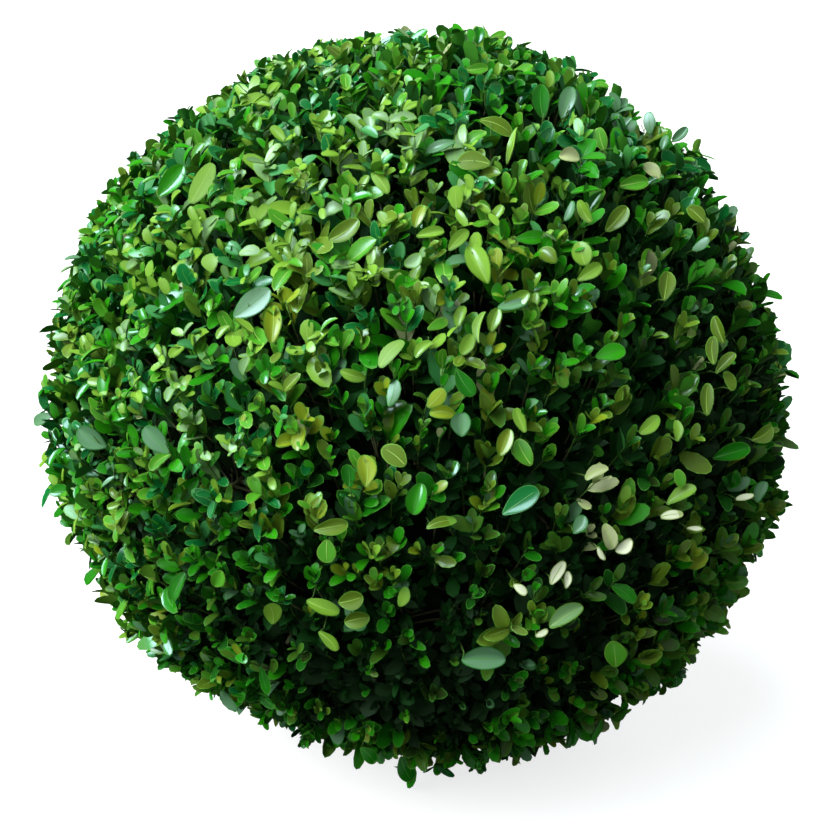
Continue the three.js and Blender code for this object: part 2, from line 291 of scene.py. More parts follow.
def on_ball(x, y, depth=0.0):
    """Where the picture's point (x, y) meets the ball, at a depth below its surface."""
    right = (x - BALL_PLACE[0]) / pixels_per_slope
    up = (BALL_PLACE[1] - y) / pixels_per_slope
    ray = unit(np.array([right, 0, 0]) + up * camera_up - towards_camera)
    middle = float(np.dot(CENTRE - camera_place, ray))
    off = camera_distance**2 - middle**2
    reach = BALL_RADIUS
    for _ in range(SURFACE_ROUNDS):
        near = middle - math.sqrt(max(reach**2 - off, 0))
        point = camera_place + ray * near
        reach = float(clipped_radius(unit(point - CENTRE))) - depth
    return point


def picture_direction(x, y):
    return unit(on_ball(x, y) - CENTRE)


# The wood
STEM_BENDS = [(0, 0, 0), (0, 0, 0.3), (0.7, 0.3, 0.65), (1, 1, 1)]  # shares of its lean and height
STEM_STEPS, STEM_SIDES, STEM_RELIEF = 80, 96, 1.0
BOUGH_PIECES, BOUGH_STEPS, BOUGH_SIDES, BOUGH_RELIEF = 4, 60, 40, 0.7
SWING_SALT, PIECE_SWING_SALT = 31, 37  # the source's, for its random numbers
BARK_RIDGES, BARK_MEAN = 11, 0.6
BARK_COLOURS = [(58, 48, 36), (104, 88, 66), (146, 130, 104)]
BARK_GRAIN, BARK_ROUGHNESS, BARK_SPECULAR, BARK_BUMP = 90, 0.85, 0.3, 0.5
BARK_STRETCH = (1, 1, 0.35)


def curve_points(points, count):
    """A smooth path through points, as even parameter steps."""
    points = np.asarray(points, dtype=float)
    padded = np.vstack([2 * points[0] - points[1], points, 2 * points[-1] - points[-2]])
    out = []
    for t in np.linspace(0, len(points) - 1, count):
        i = min(int(t), len(points) - 2)
        f = t - i
        a, b, c, d = padded[i:i + 4]
        out.append(0.5 * (2 * b + (c - a) * f + (2 * a - 5 * b + 4 * c - d) * f**2
                          + (3 * b - a - 3 * c + d) * f**3))
    return np.array(out)


stem_line = curve_points(np.array(STEM_BENDS) * [*STEM_LEAN, STEM_HEIGHT], STEM_STEPS)


def bark_relief(turn, along, coarse):
    """Cracked ridges that run along a limb, in millimetres."""
    waver = 1.3 * np.sin(along / 11 + 2 * np.sin(turn)) + 0.8 * np.sin(along / 5.3 + turn)
    ridges = np.abs(np.sin(coarse * turn / 2 + waver))
    plates = np.sin(along / 3.1 + 3 * np.sin(2 * turn + along / 17))
    return 0.9 * ridges + 0.35 * plates * ridges


def limb(path, radius_at, sides, relief, level=False):
    """A closed limb with bark along a path, its rings square to the path or level."""
    rings = len(path)
    ahead = unit(np.gradient(path, axis=0))
    if level:
        ahead = np.tile([0.0, 0, 1.0], (rings, 1))
    side = unit(np.array([1.0, 0, 0]) - ahead * ahead[:, :1])
    other = np.cross(ahead, side)
    turn = np.arange(sides) * 2 * math.pi / sides
    steps = np.linalg.norm(np.diff(path, axis=0), axis=1)
    along = np.concatenate([[0], np.cumsum(steps)])
    share = along / along[-1]
    radius = radius_at(share[:, None], turn[None, :])
    radius = radius + relief * (bark_relief(turn[None, :], along[:, None], BARK_RIDGES) - BARK_MEAN)
    out = side[:, None] * np.cos(turn)[None, :, None] + other[:, None] * np.sin(turn)[None, :, None]
    vertices = (path[:, None] + out * radius[..., None]).reshape(-1, 3)
    ends = np.stack([path[0], path[-1]])
    foot, top = len(vertices), len(vertices) + 1
    here = np.arange(sides)
    there = (here + 1) % sides
    last = (rings - 1) * sides
    caps = np.concatenate([
        np.stack([np.full(sides, foot), there, here], -1),
        np.stack([np.full(sides, top), last + here, last + there], -1),
    ])
    return np.concatenate([vertices, ends]), np.concatenate([tube_grid(rings, sides), caps])


def stem_radius(share, turn):
    height = share * STEM_HEIGHT
    flare = FLARE_RADIUS * np.exp(-height / FLARE_HEIGHT)
    taper = STEM_RADIUS + (STEM_TOP_RADIUS - STEM_RADIUS) * share
    return taper + flare * (1 + FLARE_RIB_RISE * np.cos(FLARE_RIBS * turn))


def bough_radius(share, turn):
    return BOUGH_FOOT_RADIUS + (BOUGH_END_RADIUS - BOUGH_FOOT_RADIUS) * share + np.zeros_like(turn)


def bough_path(index):
    def swing(draw, salt):
        return math.radians(BOUGH_SWING) * (chance(draw, salt) - 0.5)

    bearing = index * 2 * math.pi / BOUGH_COUNT + swing(index, SWING_SALT)
    height = BOUGH_LOWEST + BOUGH_STEP * ((index * 2) % BOUGH_COUNT)
    points = [stem_line[int(height / STEM_HEIGHT * (STEM_STEPS - 1))]]
    for i in range(BOUGH_PIECES):
        rise = math.radians(BOUGH_RISE + BOUGH_CURL * i / (BOUGH_PIECES - 1))
        towards = bearing + swing(index * BOUGH_PIECES + i, PIECE_SWING_SALT)
        along = np.array([math.cos(rise) * math.cos(towards), math.cos(rise) * math.sin(towards),
                          math.sin(rise)])
        points.append(points[i] + along * BOUGH_LENGTH / BOUGH_PIECES)
    return curve_points(points, BOUGH_STEPS)


bark = mottled_material("bark", BARK_COLOURS, BARK_GRAIN, BARK_ROUGHNESS, BARK_SPECULAR, BARK_BUMP,
                        BARK_STRETCH)
stem_mesh = limb(stem_line, stem_radius, STEM_SIDES, STEM_RELIEF, level=True)
stem_mesh[0][:, 2] = np.maximum(stem_mesh[0][:, 2], 0)
piece("stem_bark", *stem_mesh, bark, "bark", "stem")

bough_paths = [bough_path(i) for i in range(BOUGH_COUNT)]
for i, path in enumerate(bough_paths):
    grown = limb(path, bough_radius, BOUGH_SIDES, BOUGH_RELIEF)
    piece(f"bough_bark_{i + 1}", *grown, bark, "bark", f"bough_{i + 1}")


# Branches and the dark heart, a sheet of painted shade
HIGH_SHOOT = 0.55  # shoots that point up by more than this start at the fork
BRANCH_BEND = 0.15  # outwards, as a share of the way
BRANCH_BEFORE, BRANCH_BEYOND = 20, 8  # millimetres inside the shoot's root and past it
BRANCH_STEPS, BRANCH_SIDES, BRANCH_RADII = 12, 5, (3.4, 1.3)


def source_shoots():
    """Root, way and outward direction of each of the source's shoots."""
    directions = [*spread_directions(SHOOT_COUNT), *map(outline_direction, OUTLINE_SHOOTS)]
    found = []
    for index, outward in enumerate(directions):
        lean = np.array([chance(index, salt) - 0.5 for salt in (1, 2, 3)])
        along = unit(outward + lean * 2 * math.tan(math.radians(SHOOT_LEAN)))
        root = CENTRE + outward * (float(clipped_radius(outward)) - CORE_DEPTH - SHOOT_ROOT)
        found.append((root, along, outward))
    return found


shoots = source_shoots()
limb_ends = [path[-1] for path in bough_paths]
fork_top = np.array([*STEM_LEAN, STEM_HEIGHT])
branch_paths = []
for root, along, outward in shoots:
    if in_hollow(root):
        continue
    nearest_bough = min(limb_ends, key=lambda end: np.linalg.norm(end - root))
    foot = fork_top if outward[2] > HIGH_SHOOT else nearest_bough
    bend = (foot + root) / 2 + BRANCH_BEND * np.linalg.norm(root - foot) * outward
    branch_paths.append(curve_points(
        [foot, bend, root - BRANCH_BEFORE * outward, root + BRANCH_BEYOND * along], BRANCH_STEPS))
branch_paths = np.array(branch_paths)
branch_radii = np.tile(np.linspace(*BRANCH_RADII, BRANCH_STEPS), (len(branch_paths), 1))
branch_tips = branch_paths[:, -1]

HEART_ROWS, HEART_SIDES, HEART_INNER_ROWS = 46, 72, 10
HEART_RIM = 180 - 16  # degrees from its top
HEART_HUMMOCKS = [(9, 23), (4, 47)]  # rise in millimetres, waves
HEART_POINT, HEART_EDGE = 0.5, 3  # its inside's radius at the top, and its foot above the rim
# Near-black colours: painted shade deep inside the ball
HEART_SHADE_COLOURS = [(8, 14, 8), (14, 26, 12), (24, 40, 18)]
HEART_GRAIN, HEART_ROUGHNESS, HEART_SPECULAR, HEART_BUMP = 60, 0.95, 0.0, 0.8


def rings_at(radius, height, turn):
    """Points round the Z axis, for each ring's radius and height."""
    return np.stack([radius[:, None] * np.cos(turn), radius[:, None] * np.sin(turn),
                     height[:, None] * np.ones_like(turn)], -1)


def heart_mesh():
    """The dark heart, a sheet of painted shade inside the leaves: its outside from the top down, then up
    the inside of the hollow.
    """
    polar = np.linspace(0.001, math.radians(HEART_RIM), HEART_ROWS)
    turn = np.arange(HEART_SIDES) * 2 * math.pi / HEART_SIDES
    d = rings_at(np.sin(polar), np.cos(polar), turn)
    reach = clipped_radius(d) - HEART_DEPTH
    for hummock, waves in HEART_HUMMOCKS:
        reach = reach + hummock * wander(d, waves)
    outside = CENTRE + d * reach[..., None]
    rise = np.linspace(0, math.pi / 2, HEART_INNER_ROWS)
    radius = np.maximum(HOLLOW_RADIUS * np.cos(rise), HEART_POINT)
    foot = float(np.mean(outside[-1, :, 2])) + HEART_EDGE
    height = foot + (HOLLOW_TOP - foot) * np.sin(rise)
    rows = np.concatenate([outside, rings_at(radius, height, turn)])
    return rows.reshape(-1, 3), tube_grid(len(rows), HEART_SIDES)[:, ::-1]


heart = mottled_material("heart", HEART_SHADE_COLOURS, HEART_GRAIN, HEART_ROUGHNESS, HEART_SPECULAR,
                         HEART_BUMP)
foliage_piece("heart", heart_mesh(), heart)


# Sprigs
# Places on the front where leaves take darker kinds from later in their ageing, as painted shade, or
# lighter, younger kinds, as painted light: picture x, y, spread in degrees, shift
PAINTED_LIGHT_AND_SHADE_PLACES = [
    (735, 250, 30, 0.1), (290, 100, 32, -0.15), (462, 352, 22, 0.24), (330, 210, 34, -0.3),
    (280, 250, 12, -0.2), (466, 263, 15, -0.32), (600, 262, 20, 0.12), (640, 175, 24, -0.18),
    (95, 240, 20, -0.14), (100, 540, 26, -0.2), (430, 130, 14, -0.1), (170, 380, 12, -0.1),
    (285, 355, 11, 0.14), (557, 350, 20, -0.28), (280, 165, 22, -0.1), (250, 440, 14, -0.36),
    (95, 450, 18, -0.18), (70, 260, 13, -0.15), (190, 600, 16, 0.26), (755, 330, 32, 0.48),
    (530, 545, 18, 0.2), (370, 720, 12, 0.16), (450, 740, 32, 0.2),
]
# Towards the upper back, leaves shift to lighter, younger kinds: direction, spread in degrees, shift
UPPER_BACK, UPPER_BACK_SPREAD, UPPER_BACK_SHIFT = (-0.3, 0.6, 0.75), 42, -0.2
# Patches that break up the places with painted shade: strength, waves, stretch and sharpness
PATCHINESS, PATCH_WAVES, PATCH_STRETCH, PATCH_EDGE = 0.85, 43, (1.0, 1.0, 0.6), 2.5
# Places on the front where leaves are smaller: picture x, y, spread in degrees, shift of their size
SIZE_PLACES = [(140, 540, 38, -0.24), (460, 700, 34, -0.2)]
DEPTH_BY_SHADE = 24.0  # millimetres that a shift of 1 towards painted shade puts a sprig deeper
DEEPEST_SHADE = 0.35  # the shift from which it gets no deeper, so the crown stays full
CLUMP_WAVES, CLUMP_EDGE = 37, 2.2  # clumps between which sprigs lie deeper, and their sharpness
DEEP_RARITY = 1.4  # above 1, deep sprigs are rarer
HOLLOW_MARGIN = 6  # round the hollow, free of sprig tips
SPRIG_SCALE, SPRIG_SCALE_LIMITS = (0.98, 0.22), (0.55, 1.5)  # mean and spread


def nearness(directions, x, y, spread):
    """1 at a place in the picture, falling to 0 away from it."""
    away = np.arccos(np.clip(directions @ picture_direction(x, y), -1, 1)) / math.radians(spread)
    return np.exp(-away * away)


# Painted light and shade: a shift to darker kinds where it is above 0 and to lighter ones below 0, by
# place on the ball
def light_and_shade_shift(directions):
    in_view = sum(shift * nearness(directions, x, y, spread) for x, y, spread, shift in PAINTED_LIGHT_AND_SHADE_PLACES)
    patches = np.clip(PATCH_EDGE * wander(directions * PATCH_STRETCH, PATCH_WAVES), -1, 1)
    in_view = in_view + PATCHINESS * patches * np.maximum(in_view, 0)
    away = np.arccos(np.clip(directions @ unit(np.array(UPPER_BACK)), -1, 1))
    return in_view + UPPER_BACK_SHIFT * np.exp(-(away / math.radians(UPPER_BACK_SPREAD)) ** 2)


def grow_sprigs():
    """Tip, way and outward direction of every sprig, spread evenly and leaning at random."""
    outward = spread_directions(SPRIG_COUNT)
    outward = unit(outward + rng.normal(0, SPRIG_JITTER, outward.shape))
    tangent = rng.normal(0, 1, outward.shape)
    tangent = unit(tangent - dot(tangent, outward) * outward)
    lean = SPRIG_LEAN[0] + (SPRIG_LEAN[1] - SPRIG_LEAN[0]) * rng.random((len(outward), 1))
    rise = np.interp(outward[:, 2:], RISE_LEVELS, SPRIG_RISE)
    along = unit(outward + tangent * lean + rise * np.array([0, 0, 1.0]))
    clump = 0.5 - 0.5 * np.clip(CLUMP_EDGE * wander(outward, CLUMP_WAVES), -1, 1)
    loose = 0.5 * clump + 0.5 * rng.random(len(outward)) ** DEEP_RARITY
    depth = SPRIG_DEPTH[0] + (SPRIG_DEPTH[1] - SPRIG_DEPTH[0]) * loose
    shade_shift = np.minimum(light_and_shade_shift(outward), DEEPEST_SHADE)
    depth = np.maximum(depth + DEPTH_BY_SHADE * shade_shift, SPRIG_DEPTH[0])
    tip = CENTRE + outward * (clipped_radius(outward) - depth)[:, None]
    keep = ~in_hollow(tip, -HOLLOW_MARGIN)
    return tip[keep], along[keep], outward[keep]


tips, alongs, outwards = grow_sprigs()
sprig_count = len(tips)
stem_lengths = rng.uniform(*SPRIG_STEM, sprig_count)
sprig_scale = np.clip(rng.normal(*SPRIG_SCALE, sprig_count), *SPRIG_SCALE_LIMITS)
sprig_scale = sprig_scale * (1 + sum(shift * nearness(outwards, x, y, spread)
                                     for x, y, spread, shift in SIZE_PLACES))
sprig_room = rng.uniform(*STRAY_ROOM, sprig_count)


def along_stem(back):
    """Places and ways on the stems at a distance back from their tips."""
    share = (back / stem_lengths)[:, None]
    place = tips - alongs * back[:, None]
    place = place - outwards * (SPRIG_BOW * stem_lengths[:, None] * share**2)
    way = unit(alongs + outwards * 2 * SPRIG_BOW * share)
    return place, way


# The kinds of leaf: colour, roughness, specular level and underside
LEAF_KINDS = {
    "lime": ((112, 156, 44), 0.32, 0.5, "young"),
    "fresh": ((70, 142, 27), 0.3, 0.5, "young"),
    "vivid": ((42, 136, 12), 0.22, 0.55, "old"),
    "mid": ((31, 120, 12), 0.2, 0.55, "old"),
    "deep": ((26, 107, 15), 0.2, 0.55, "old"),
    "dark": ((27, 85, 21), 0.2, 0.55, "old"),
    "shade": ((16, 42, 15), 0.3, 0.5, "old"),
    "mist": ((112, 152, 94), 0.38, 0.5, "young"),
    "mint": ((58, 134, 68), 0.34, 0.55, "cool"),
    "jade": ((15, 100, 42), 0.22, 0.32, "cool"),
    "pine": ((14, 84, 34), 0.26, 0.7, "cool"),
    "gold": ((128, 150, 28), 0.34, 0.45, "young"),
    "olive": ((89, 118, 26), 0.32, 0.45, "young"),
    "moss": ((61, 98, 24), 0.28, 0.45, "old"),
    "dusk": ((46, 69, 24), 0.26, 0.5, "old"),
    # A pale blue-green, partly the leaves' own tone and partly painted sheen
    "silver": ((84, 128, 88), 0.34, 0.5, "cool"),
    "cream": ((160, 170, 118), 0.46, 0.4, "pale"),
    # A paler copy of cream, painted light for cream leaves in the shade at the lower right
    "ivory": ((218, 224, 190), 0.5, 0.3, "pale"),
}
BACK_COLOURS = {
    "young": (106, 158, 50), "old": (60, 128, 34), "cool": (58, 128, 56), "pale": (162, 182, 112),
}
BACK_ROUGHNESS, BACK_SPECULAR = 0.5, 0.25
KIND_NAMES = list(LEAF_KINDS)
AGES = ["lime", "fresh", "vivid", "mid", "deep", "dark", "shade"]  # from young to old
AGE_LIMITS = [0.24, 0.44, 0.62, 0.8, 1.0, 1.25]  # between them
# Warmer and cooler kinds that some leaves of an age take
COOLER = {"lime": "mist", "fresh": "mint", "vivid": "jade", "mid": "jade", "deep": "pine"}
WARMER = {
    "lime": "gold", "fresh": "olive", "vivid": "olive", "mid": "moss", "deep": "moss", "dark": "dusk",
}
COOL_SHARE, WARM_SHARE = 0.22, 0.1
# Places on the front that are warmer or cooler: picture x, y, spread in degrees, shift of the shares
WARM_PLACES = [
    (700, 460, 36, 0.46), (480, 680, 34, 0.42), (500, 300, 20, 0.08), (180, 280, 45, -0.13),
    (430, 80, 36, -0.12),
]
ODD_SHARES = {"olive": 0.03, "silver": 0.01}  # of the sprigs
STRAY_SHARES = {"gold": 0.01, "silver": 0.02, "cream": 0.004}  # of the leaves
ODDITY_GAIN, ODDITY_LIMITS = 7, (0.2, 1.6)  # how much a warm place multiplies both
AGE_BY_SPRIG, AGE_BY_LEAF = 0.6, 0.4  # the parts of a leaf's age
AGE_DRIFT, AGE_DRIFT_WAVES = 0.08, 5
PAIR_AGEING = 0.05  # for each pair back from the tip
# Leaves below the free depth take darker kinds, partly as ageing and partly as painted shade inside the
# ball
DEPTH_AGEING_AND_SHADE = 0.009  # for each millimetre below the free depth
FREE_DEPTH = 7.0
# Places where an odd kind gathers: picture x, y, spread in degrees, kind, share
ODD_PLACES = [
    (480, 230, 18, "olive", 0.12), (370, 470, 8, "gold", 0.3), (275, 318, 3, "gold", 0.9),
    (505, 430, 3, "gold", 0.8), (650, 600, 6, "gold", 0.4), (715, 360, 9, "olive", 0.4),
    (600, 540, 9, "cream", 0.22), (640, 600, 9, "olive", 0.4), (650, 130, 7, "silver", 0.4),
    (130, 440, 8, "silver", 0.3),
]


def deal_ages():
    """The age of each sprig, mostly from 0 to 1, with the painted light and shade of the places on the
    front.
    """
    drift = AGE_DRIFT * wander(outwards, AGE_DRIFT_WAVES)
    return rng.random(sprig_count) + drift + light_and_shade_shift(outwards)


def deal_odd_kinds():
    """The odd kind of each sprig, or -1."""
    odd = np.full(sprig_count, -1)
    for name, share in ODD_SHARES.items():
        odd[rng.random(sprig_count) < share * oddity] = KIND_NAMES.index(name)
    for x, y, spread, name, share in ODD_PLACES:
        odd[rng.random(sprig_count) < share * nearness(outwards, x, y, spread)] = KIND_NAMES.index(name)
    return odd


def kind_table(changes):
    """For each age, the kind that a change puts in its place."""
    return np.array([KIND_NAMES.index(changes.get(name, name)) for name in AGES])


def deal_hues(ages):
    """The kind for each leaf of an age: plain, cooler or warmer."""
    hue = 0.5 * sprig_hues + 0.5 * rng.random(sprig_count)
    hue = np.where(hue < 0.5, 2 * hue * hue, 1 - 2 * (1 - hue) ** 2)
    kinds = np.where(hue < COOL_SHARE - warm_shift, kind_table(COOLER)[ages], kind_table({})[ages])
    return np.where(hue > 1 - WARM_SHARE - warm_shift, kind_table(WARMER)[ages], kinds)


warm_shift = sum(shift * nearness(outwards, x, y, spread) for x, y, spread, shift in WARM_PLACES)
oddity = np.clip(1 + ODDITY_GAIN * warm_shift, *ODDITY_LIMITS)
sprig_ages_and_shade = deal_ages()
odd_kinds = deal_odd_kinds()
sprig_hues = rng.random(sprig_count)


# Leaves on the sprigs
LIGHT_WAY = unit(np.array([-0.4, -0.3, 0.87]))  # the way leaves turn to
KEY_WAY = (-0.64, -0.13, 0.75)  # to the main lamp
FACE_OUT, FACE_LIGHT, FACE_SPREAD = 0.45, 0.45, 0.45  # turn outwards, to the light and at random
STEP_SPREAD, LENGTH_SPREAD = (0.8, 1.2), (0.75, 1.25)
TURN_SPREAD = 0.3  # round the stem, in radians
ANGLE_SPREAD = 14  # off the stem, in degrees
LEAF_LIFT = 0.12  # how far leaves turn up
LAY_ROUNDS, LAY_STEP = 8, 9  # of leaning a leaf over, and degrees in each
LEAF_WIDTH, LEAF_WIDTH_LIMITS = (0.46, 0.06), (0.33, 0.6)  # mean and spread, of the length
LEAF_MIDDLE = 0.6  # along a leaf, where its depth is measured
YOUNG_PAIRS = 3  # take a sprig's odd kind and lose fewer leaves
KEPT_YOUNG, KEPT_OLD = 0.94, 0.8
TIP_LOWEST, TIP_IN_HOLLOW = 3, 4  # leaf tips keep above the one, and reach in by the other
LEAF_SUNK = 0.3  # in the stem


def grow_leaves():
    """Every leaf: start, way, face, length, width and kind."""
    grown = []
    back = np.zeros(sprig_count)
    first_turn = rng.uniform(0, 2 * math.pi, sprig_count)
    pairs = zip(PAIR_STEPS, PAIR_LENGTHS, PAIR_ANGLES)
    for pair, (step, base_length, base_angle) in enumerate(pairs):
        back = back + step * sprig_scale * rng.uniform(*STEP_SPREAD, sprig_count)
        place, stem_way = along_stem(back)
        helper = unit(np.cross(stem_way, outwards + [0.01, 0.02, 0.03]))
        other = np.cross(stem_way, helper)
        for half in (0, 1):
            turn = first_turn + pair * math.pi / 2 + half * math.pi
            turn = turn + rng.normal(0, TURN_SPREAD, sprig_count)
            out = helper * np.cos(turn)[:, None] + other * np.sin(turn)[:, None]
            length = base_length * sprig_scale * rng.uniform(*LENGTH_SPREAD, sprig_count)
            length = np.minimum(length, LEAF_LONGEST)
            angle = np.radians(base_angle + rng.normal(0, ANGLE_SPREAD, sprig_count))
            way = lay_down(place, stem_way, out, length, angle)
            grown.append(finish_leaves(place, way, stem_way, length, pair))
    return [np.concatenate(column) for column in zip(*grown)]


def lay_down(place, stem_way, out, length, angle):
    """Leans leaves over until their tips keep below the clipped surface."""
    for _ in range(LAY_ROUNDS):
        way = unit(stem_way * np.cos(angle)[:, None] + out * np.sin(angle)[:, None]
                   + np.array([0, 0, LEAF_LIFT]))
        end = place + way * length[:, None]
        reach = np.linalg.norm(end - CENTRE, axis=1)
        over = reach > clipped_radius(unit(end - CENTRE)) * sprig_room
        if not over.any():
            break
        angle = angle + np.where(over, math.radians(LAY_STEP), 0)
    return way


def finish_leaves(place, way, stem_way, length, pair):
    """Gives leaves their face, width and kind, and drops some."""
    count = len(length)
    natural = unit(stem_way - dot(stem_way, way) * way)
    wanted = natural + FACE_OUT * outwards + FACE_LIGHT * LIGHT_WAY
    wanted = wanted + rng.normal(0, FACE_SPREAD, place.shape)
    face = unit(wanted - dot(wanted, way) * way)
    width = length * np.clip(rng.normal(*LEAF_WIDTH, count), *LEAF_WIDTH_LIMITS)
    end = place + way * length[:, None]
    middle = place + way * length[:, None] * LEAF_MIDDLE
    buried = np.maximum(depth_below_surface(middle) - FREE_DEPTH, 0)
    # A leaf's age carries its sprig's painted light and shade, and its depth adds painted shade
    age = AGE_BY_SPRIG * sprig_ages_and_shade + AGE_BY_LEAF * rng.random(count)
    age = age + PAIR_AGEING * pair + DEPTH_AGEING_AND_SHADE * buried
    kinds = deal_hues(np.searchsorted(AGE_LIMITS, age))
    kinds = np.where((odd_kinds >= 0) & (pair < YOUNG_PAIRS), odd_kinds, kinds)
    for name, share in STRAY_SHARES.items():
        kinds[rng.random(count) < share * oddity] = KIND_NAMES.index(name)
    kept = rng.random(count) < (KEPT_YOUNG if pair < YOUNG_PAIRS else KEPT_OLD)
    keep = kept & (end[:, 2] > TIP_LOWEST) & ~in_hollow(end, TIP_IN_HOLLOW) & ~in_hollow(place)
    start = place - way * LEAF_SUNK
    return start[keep], way[keep], face[keep], length[keep], width[keep], kinds[keep]


# Leaf shapes
# Corners along a leaf and across it: on its upper sheet, its underside, inside the ball, and on a
# leaf that stands out
FINE_STATIONS = [0.1, 0.32, 0.58, 0.82, 0.955]
BACK_STATIONS = [0.15, 0.45, 0.75, 0.94]
INNER_STATIONS = [0.22, 0.55, 0.86]
SMOOTH_STATIONS = [0.04, 0.12, 0.24, 0.38, 0.52, 0.66, 0.79, 0.89, 0.96, 0.99]
COLUMNS = [-1, 0, 1]
SMOOTH_COLUMNS = [-1, -0.5, 0, 0.5, 1]
RIB_STATIONS = [0.04, 0.3, 0.55, 0.8]
SMOOTH_RIB_STATIONS = SMOOTH_STATIONS[:8]
RIM = 0.52  # by which the pale underside shows round the edge
THICKNESS = 0.22
LEAF_LOWEST = 0.4  # a leaf that reaches the ground lies along it
FOLD_ROUND = 1.5  # 1 for a sharp fold at the midrib, 2 for a round trough
BLUNT_BASE, BLUNT_TIP = 0.6, 0.1  # the power of its outline, and by how much less at the tip
LEAF_BENDS = ["fold", "curl", "wide_at", "twist", "sag"]
RIB_WIDTH, RIB_RISE, RIB_TAPER = 0.6, 0.12, 0.7
RIB_DEPTH, RIB_LENGTH = 10.0, 13.0  # leaves with a rib lie above the one and pass the other


def leaf_template(stations, columns):
    """Corners of a flat leaf, across and along it, and its triangles."""
    rows, wide = len(stations), len(columns)
    corners = [(0, 0), *((c, s) for s in stations for c in columns), (0, 1)]
    last = 1 + (rows - 1) * wide
    triangles = []
    for c in range(wide - 1):
        triangles.append((0, 2 + c, 1 + c))
        for a in range(1 + c, last + c, wide):
            triangles += [(a, a + 1, a + wide + 1), (a, a + wide + 1, a + wide)]
        triangles.append((last + c, last + c + 1, len(corners) - 1))
    return np.array(corners, dtype=float), np.array(triangles)


def leaf_form(count):
    """The random numbers that shape each leaf."""
    return {
        "fold": rng.uniform(-0.1, 0.8, count),
        "curl": rng.normal(0.17, 0.13, count),
        "wide_at": rng.uniform(1.0, 1.5, count),
        "twist": rng.normal(0, 0.25, count),
        "sag": rng.normal(0, 0.05, count),
    }


def leaf_sheets(leaves, form, stations, back=False, columns=COLUMNS):
    """Upper sheets of leaves, or their undersides."""
    start, way, face, length, width = leaves
    corners, triangles = leaf_template(stations, columns)
    c, v = corners[:, 0][None], corners[:, 1][None]
    fold, curl, wide_at, twist, sag = (form[bend][:, None] for bend in LEAF_BENDS)
    half = 0.5 * np.clip(np.sin(math.pi * v**wide_at), 0, 1) ** (BLUNT_BASE - BLUNT_TIP * v)
    sideways = c * (half * width[:, None] + RIM * back)
    raised = fold * half * width[:, None] * np.abs(c) ** FOLD_ROUND
    raised = raised - curl * length[:, None] * v**2 + twist * v * sideways
    raised = raised - THICKNESS * back
    bent = sag * length[:, None] * np.sin(math.pi * v)
    forward = v * length[:, None] + RIM * back * (2 * v - 1)
    across = np.cross(way, face)
    vertices = (start[:, None] + across[:, None] * (sideways + bent)[..., None]
                + way[:, None] * forward[..., None] + face[:, None] * raised[..., None])
    vertices[..., 2] = np.maximum(vertices[..., 2], LEAF_LOWEST)
    return repeated(vertices, triangles[:, ::-1] if back else triangles)


def leaf_ribs(leaves, form, stations):
    """Narrow pale strips along the middle of leaves."""
    start, way, face, length, _ = leaves
    v = np.array(stations)[None]
    rise = RIB_RISE - form["curl"][:, None] * length[:, None] * v**2
    bent = form["sag"][:, None] * length[:, None] * np.sin(math.pi * v)
    across = np.cross(way, face)
    line = (start[:, None] + across[:, None] * bent[..., None]
            + way[:, None] * (v * length[:, None])[..., None] + face[:, None] * rise[..., None])
    half = across[:, None] * (RIB_WIDTH * (1 - RIB_TAPER * v) / 2)[..., None]
    vertices = np.stack([line - half, line + half], axis=2)
    a = 2 * np.arange(len(stations) - 1)
    one = np.concatenate([np.stack([a, a + 1, a + 3], -1), np.stack([a, a + 3, a + 2], -1)])
    return repeated(vertices, one)


def chosen(values, which):
    """The same values for some of the leaves only."""
    if isinstance(values, dict):
        return {key: value[which] for key, value in values.items()}
    return [value[which] for value in values]


*leaves, leaf_kinds = grow_leaves()
form = leaf_form(len(leaf_kinds))
leaf_depth = depth_below_surface(leaves[0] + leaves[1] * leaves[3][:, None] * LEAF_MIDDLE)
outer = leaf_depth < OUTER_DEPTH


